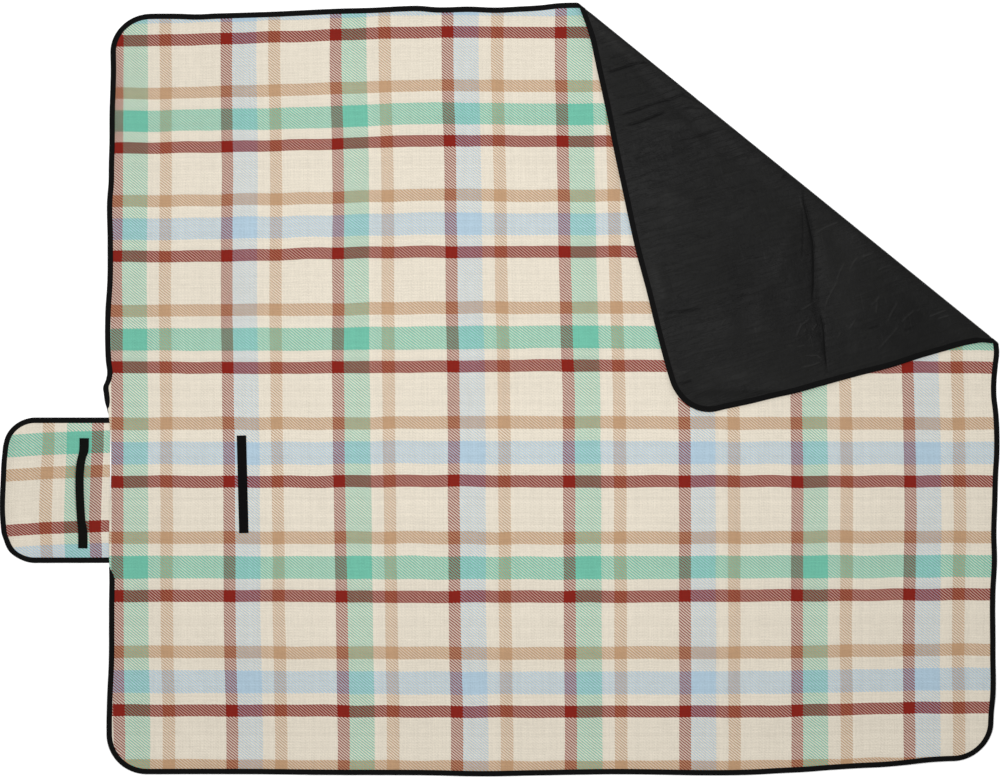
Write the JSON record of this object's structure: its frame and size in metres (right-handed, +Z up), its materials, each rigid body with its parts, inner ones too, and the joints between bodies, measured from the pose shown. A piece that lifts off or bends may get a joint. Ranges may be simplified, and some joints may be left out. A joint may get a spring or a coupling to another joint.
{
  "type": "camp blanket",
  "caption": "Waterproof-backed plaid camp blanket laid flat with one corner turned back, a closing flap with a webbing carry handle, and hook-and-loop strips.",
  "frame": {"origin": "centre of the underside of the whole object's box, on the ground plane", "axes": "+X to the right along the long side, away from the closing flap; +Y towards the far edge with the turned-back corner; +Z up out of the plaid side"},
  "size_m": [1.682, 1.3, 0.0204],
  "materials": {
    "plaid_fabric": "brushed 2/2 twill, woven plaid of cream, red, sea green, pale blue and tan",
    "foam_padding": "soft open-cell foam",
    "peva_backing": "charcoal film, fine creases, soft sheen",
    "binding_tape": "black woven edge tape",
    "webbing": "black ribbed webbing",
    "hook_tape": "black moulded hooks",
    "loop_tape": "black napped loops",
    "sewing_thread": "black polyester thread"
  },
  "bodies": {
    "centre_panel": {"centre_top_fabric": "plaid_fabric", "centre_padding": "foam_padding", "centre_backing": "peva_backing", "centre_binding": "binding_tape", "loop_strip": "loop_tape", "flap_seam_allowance": "plaid_fabric"},
    "near_panel": {"near_top_fabric": "plaid_fabric", "near_padding": "foam_padding", "near_backing": "peva_backing", "near_binding": "binding_tape"},
    "far_panel": {"far_top_fabric": "plaid_fabric", "far_padding": "foam_padding", "far_backing": "peva_backing", "far_binding": "binding_tape"},
    "corner": {"corner_top_fabric": "plaid_fabric", "corner_padding": "foam_padding", "corner_backing": "peva_backing", "corner_binding": "binding_tape", "corner_fold_bend": "peva_backing"},
    "flap_root": {"flap_root_top_fabric": "plaid_fabric", "flap_root_padding": "foam_padding", "flap_root_backing": "peva_backing", "flap_root_binding": "binding_tape"},
    "flap": {"flap_top_fabric": "plaid_fabric", "flap_padding": "foam_padding", "flap_backing": "peva_backing", "flap_binding": "binding_tape", "flap_hook_strip": "hook_tape", "handle_sewn_ends": "webbing", "handle_box_stitching": "sewing_thread"},
    "handle": {"handle_grip": "webbing", "handle_legs": "webbing"}
  },
  "joints": [
    {"name": "near_fold", "type": "hinge", "parent": "centre_panel", "child": "near_panel", "pos_m": [0, -0.325, -0.002], "axis": [1, 0, 0], "range_deg": [0, 179.9]},
    {"name": "far_fold", "type": "hinge", "parent": "centre_panel", "child": "far_panel", "pos_m": [0, 0, -0.006], "axis": [-1, 0, 0], "range_deg": [0, 179.9]},
    {"name": "corner_fold", "type": "hinge", "parent": "far_panel", "child": "corner", "pos_m": [0.3363, 0.4884, 0.0045], "axis": [-0.7773, 0.6291, 0], "range_deg": [0, 179.9], "deforming": ["corner_fold_bend"]},
    {"name": "flap_root_fold", "type": "hinge", "parent": "centre_panel", "child": "flap_root", "pos_m": [-0.6592, -0.171, 0.0015], "axis": [0, 1, 0], "range_deg": [-90, 90]},
    {"name": "flap_fold", "type": "hinge", "parent": "flap_root", "child": "flap", "pos_m": [-0.6852, -0.171, 0.0015], "axis": [0, 1, 0], "range_deg": [-90, 90]},
    {"name": "handle_swing", "type": "hinge", "parent": "flap", "child": "handle", "pos_m": [-0.7015, -0.176, 0.0039], "axis": [0, 1, 0], "range_deg": [0, 50], "deforming": ["handle_legs"]}
  ],
  "couplings": [
    {"joint": "flap_fold", "follows": "flap_root_fold", "ratio": 1}
  ]
}
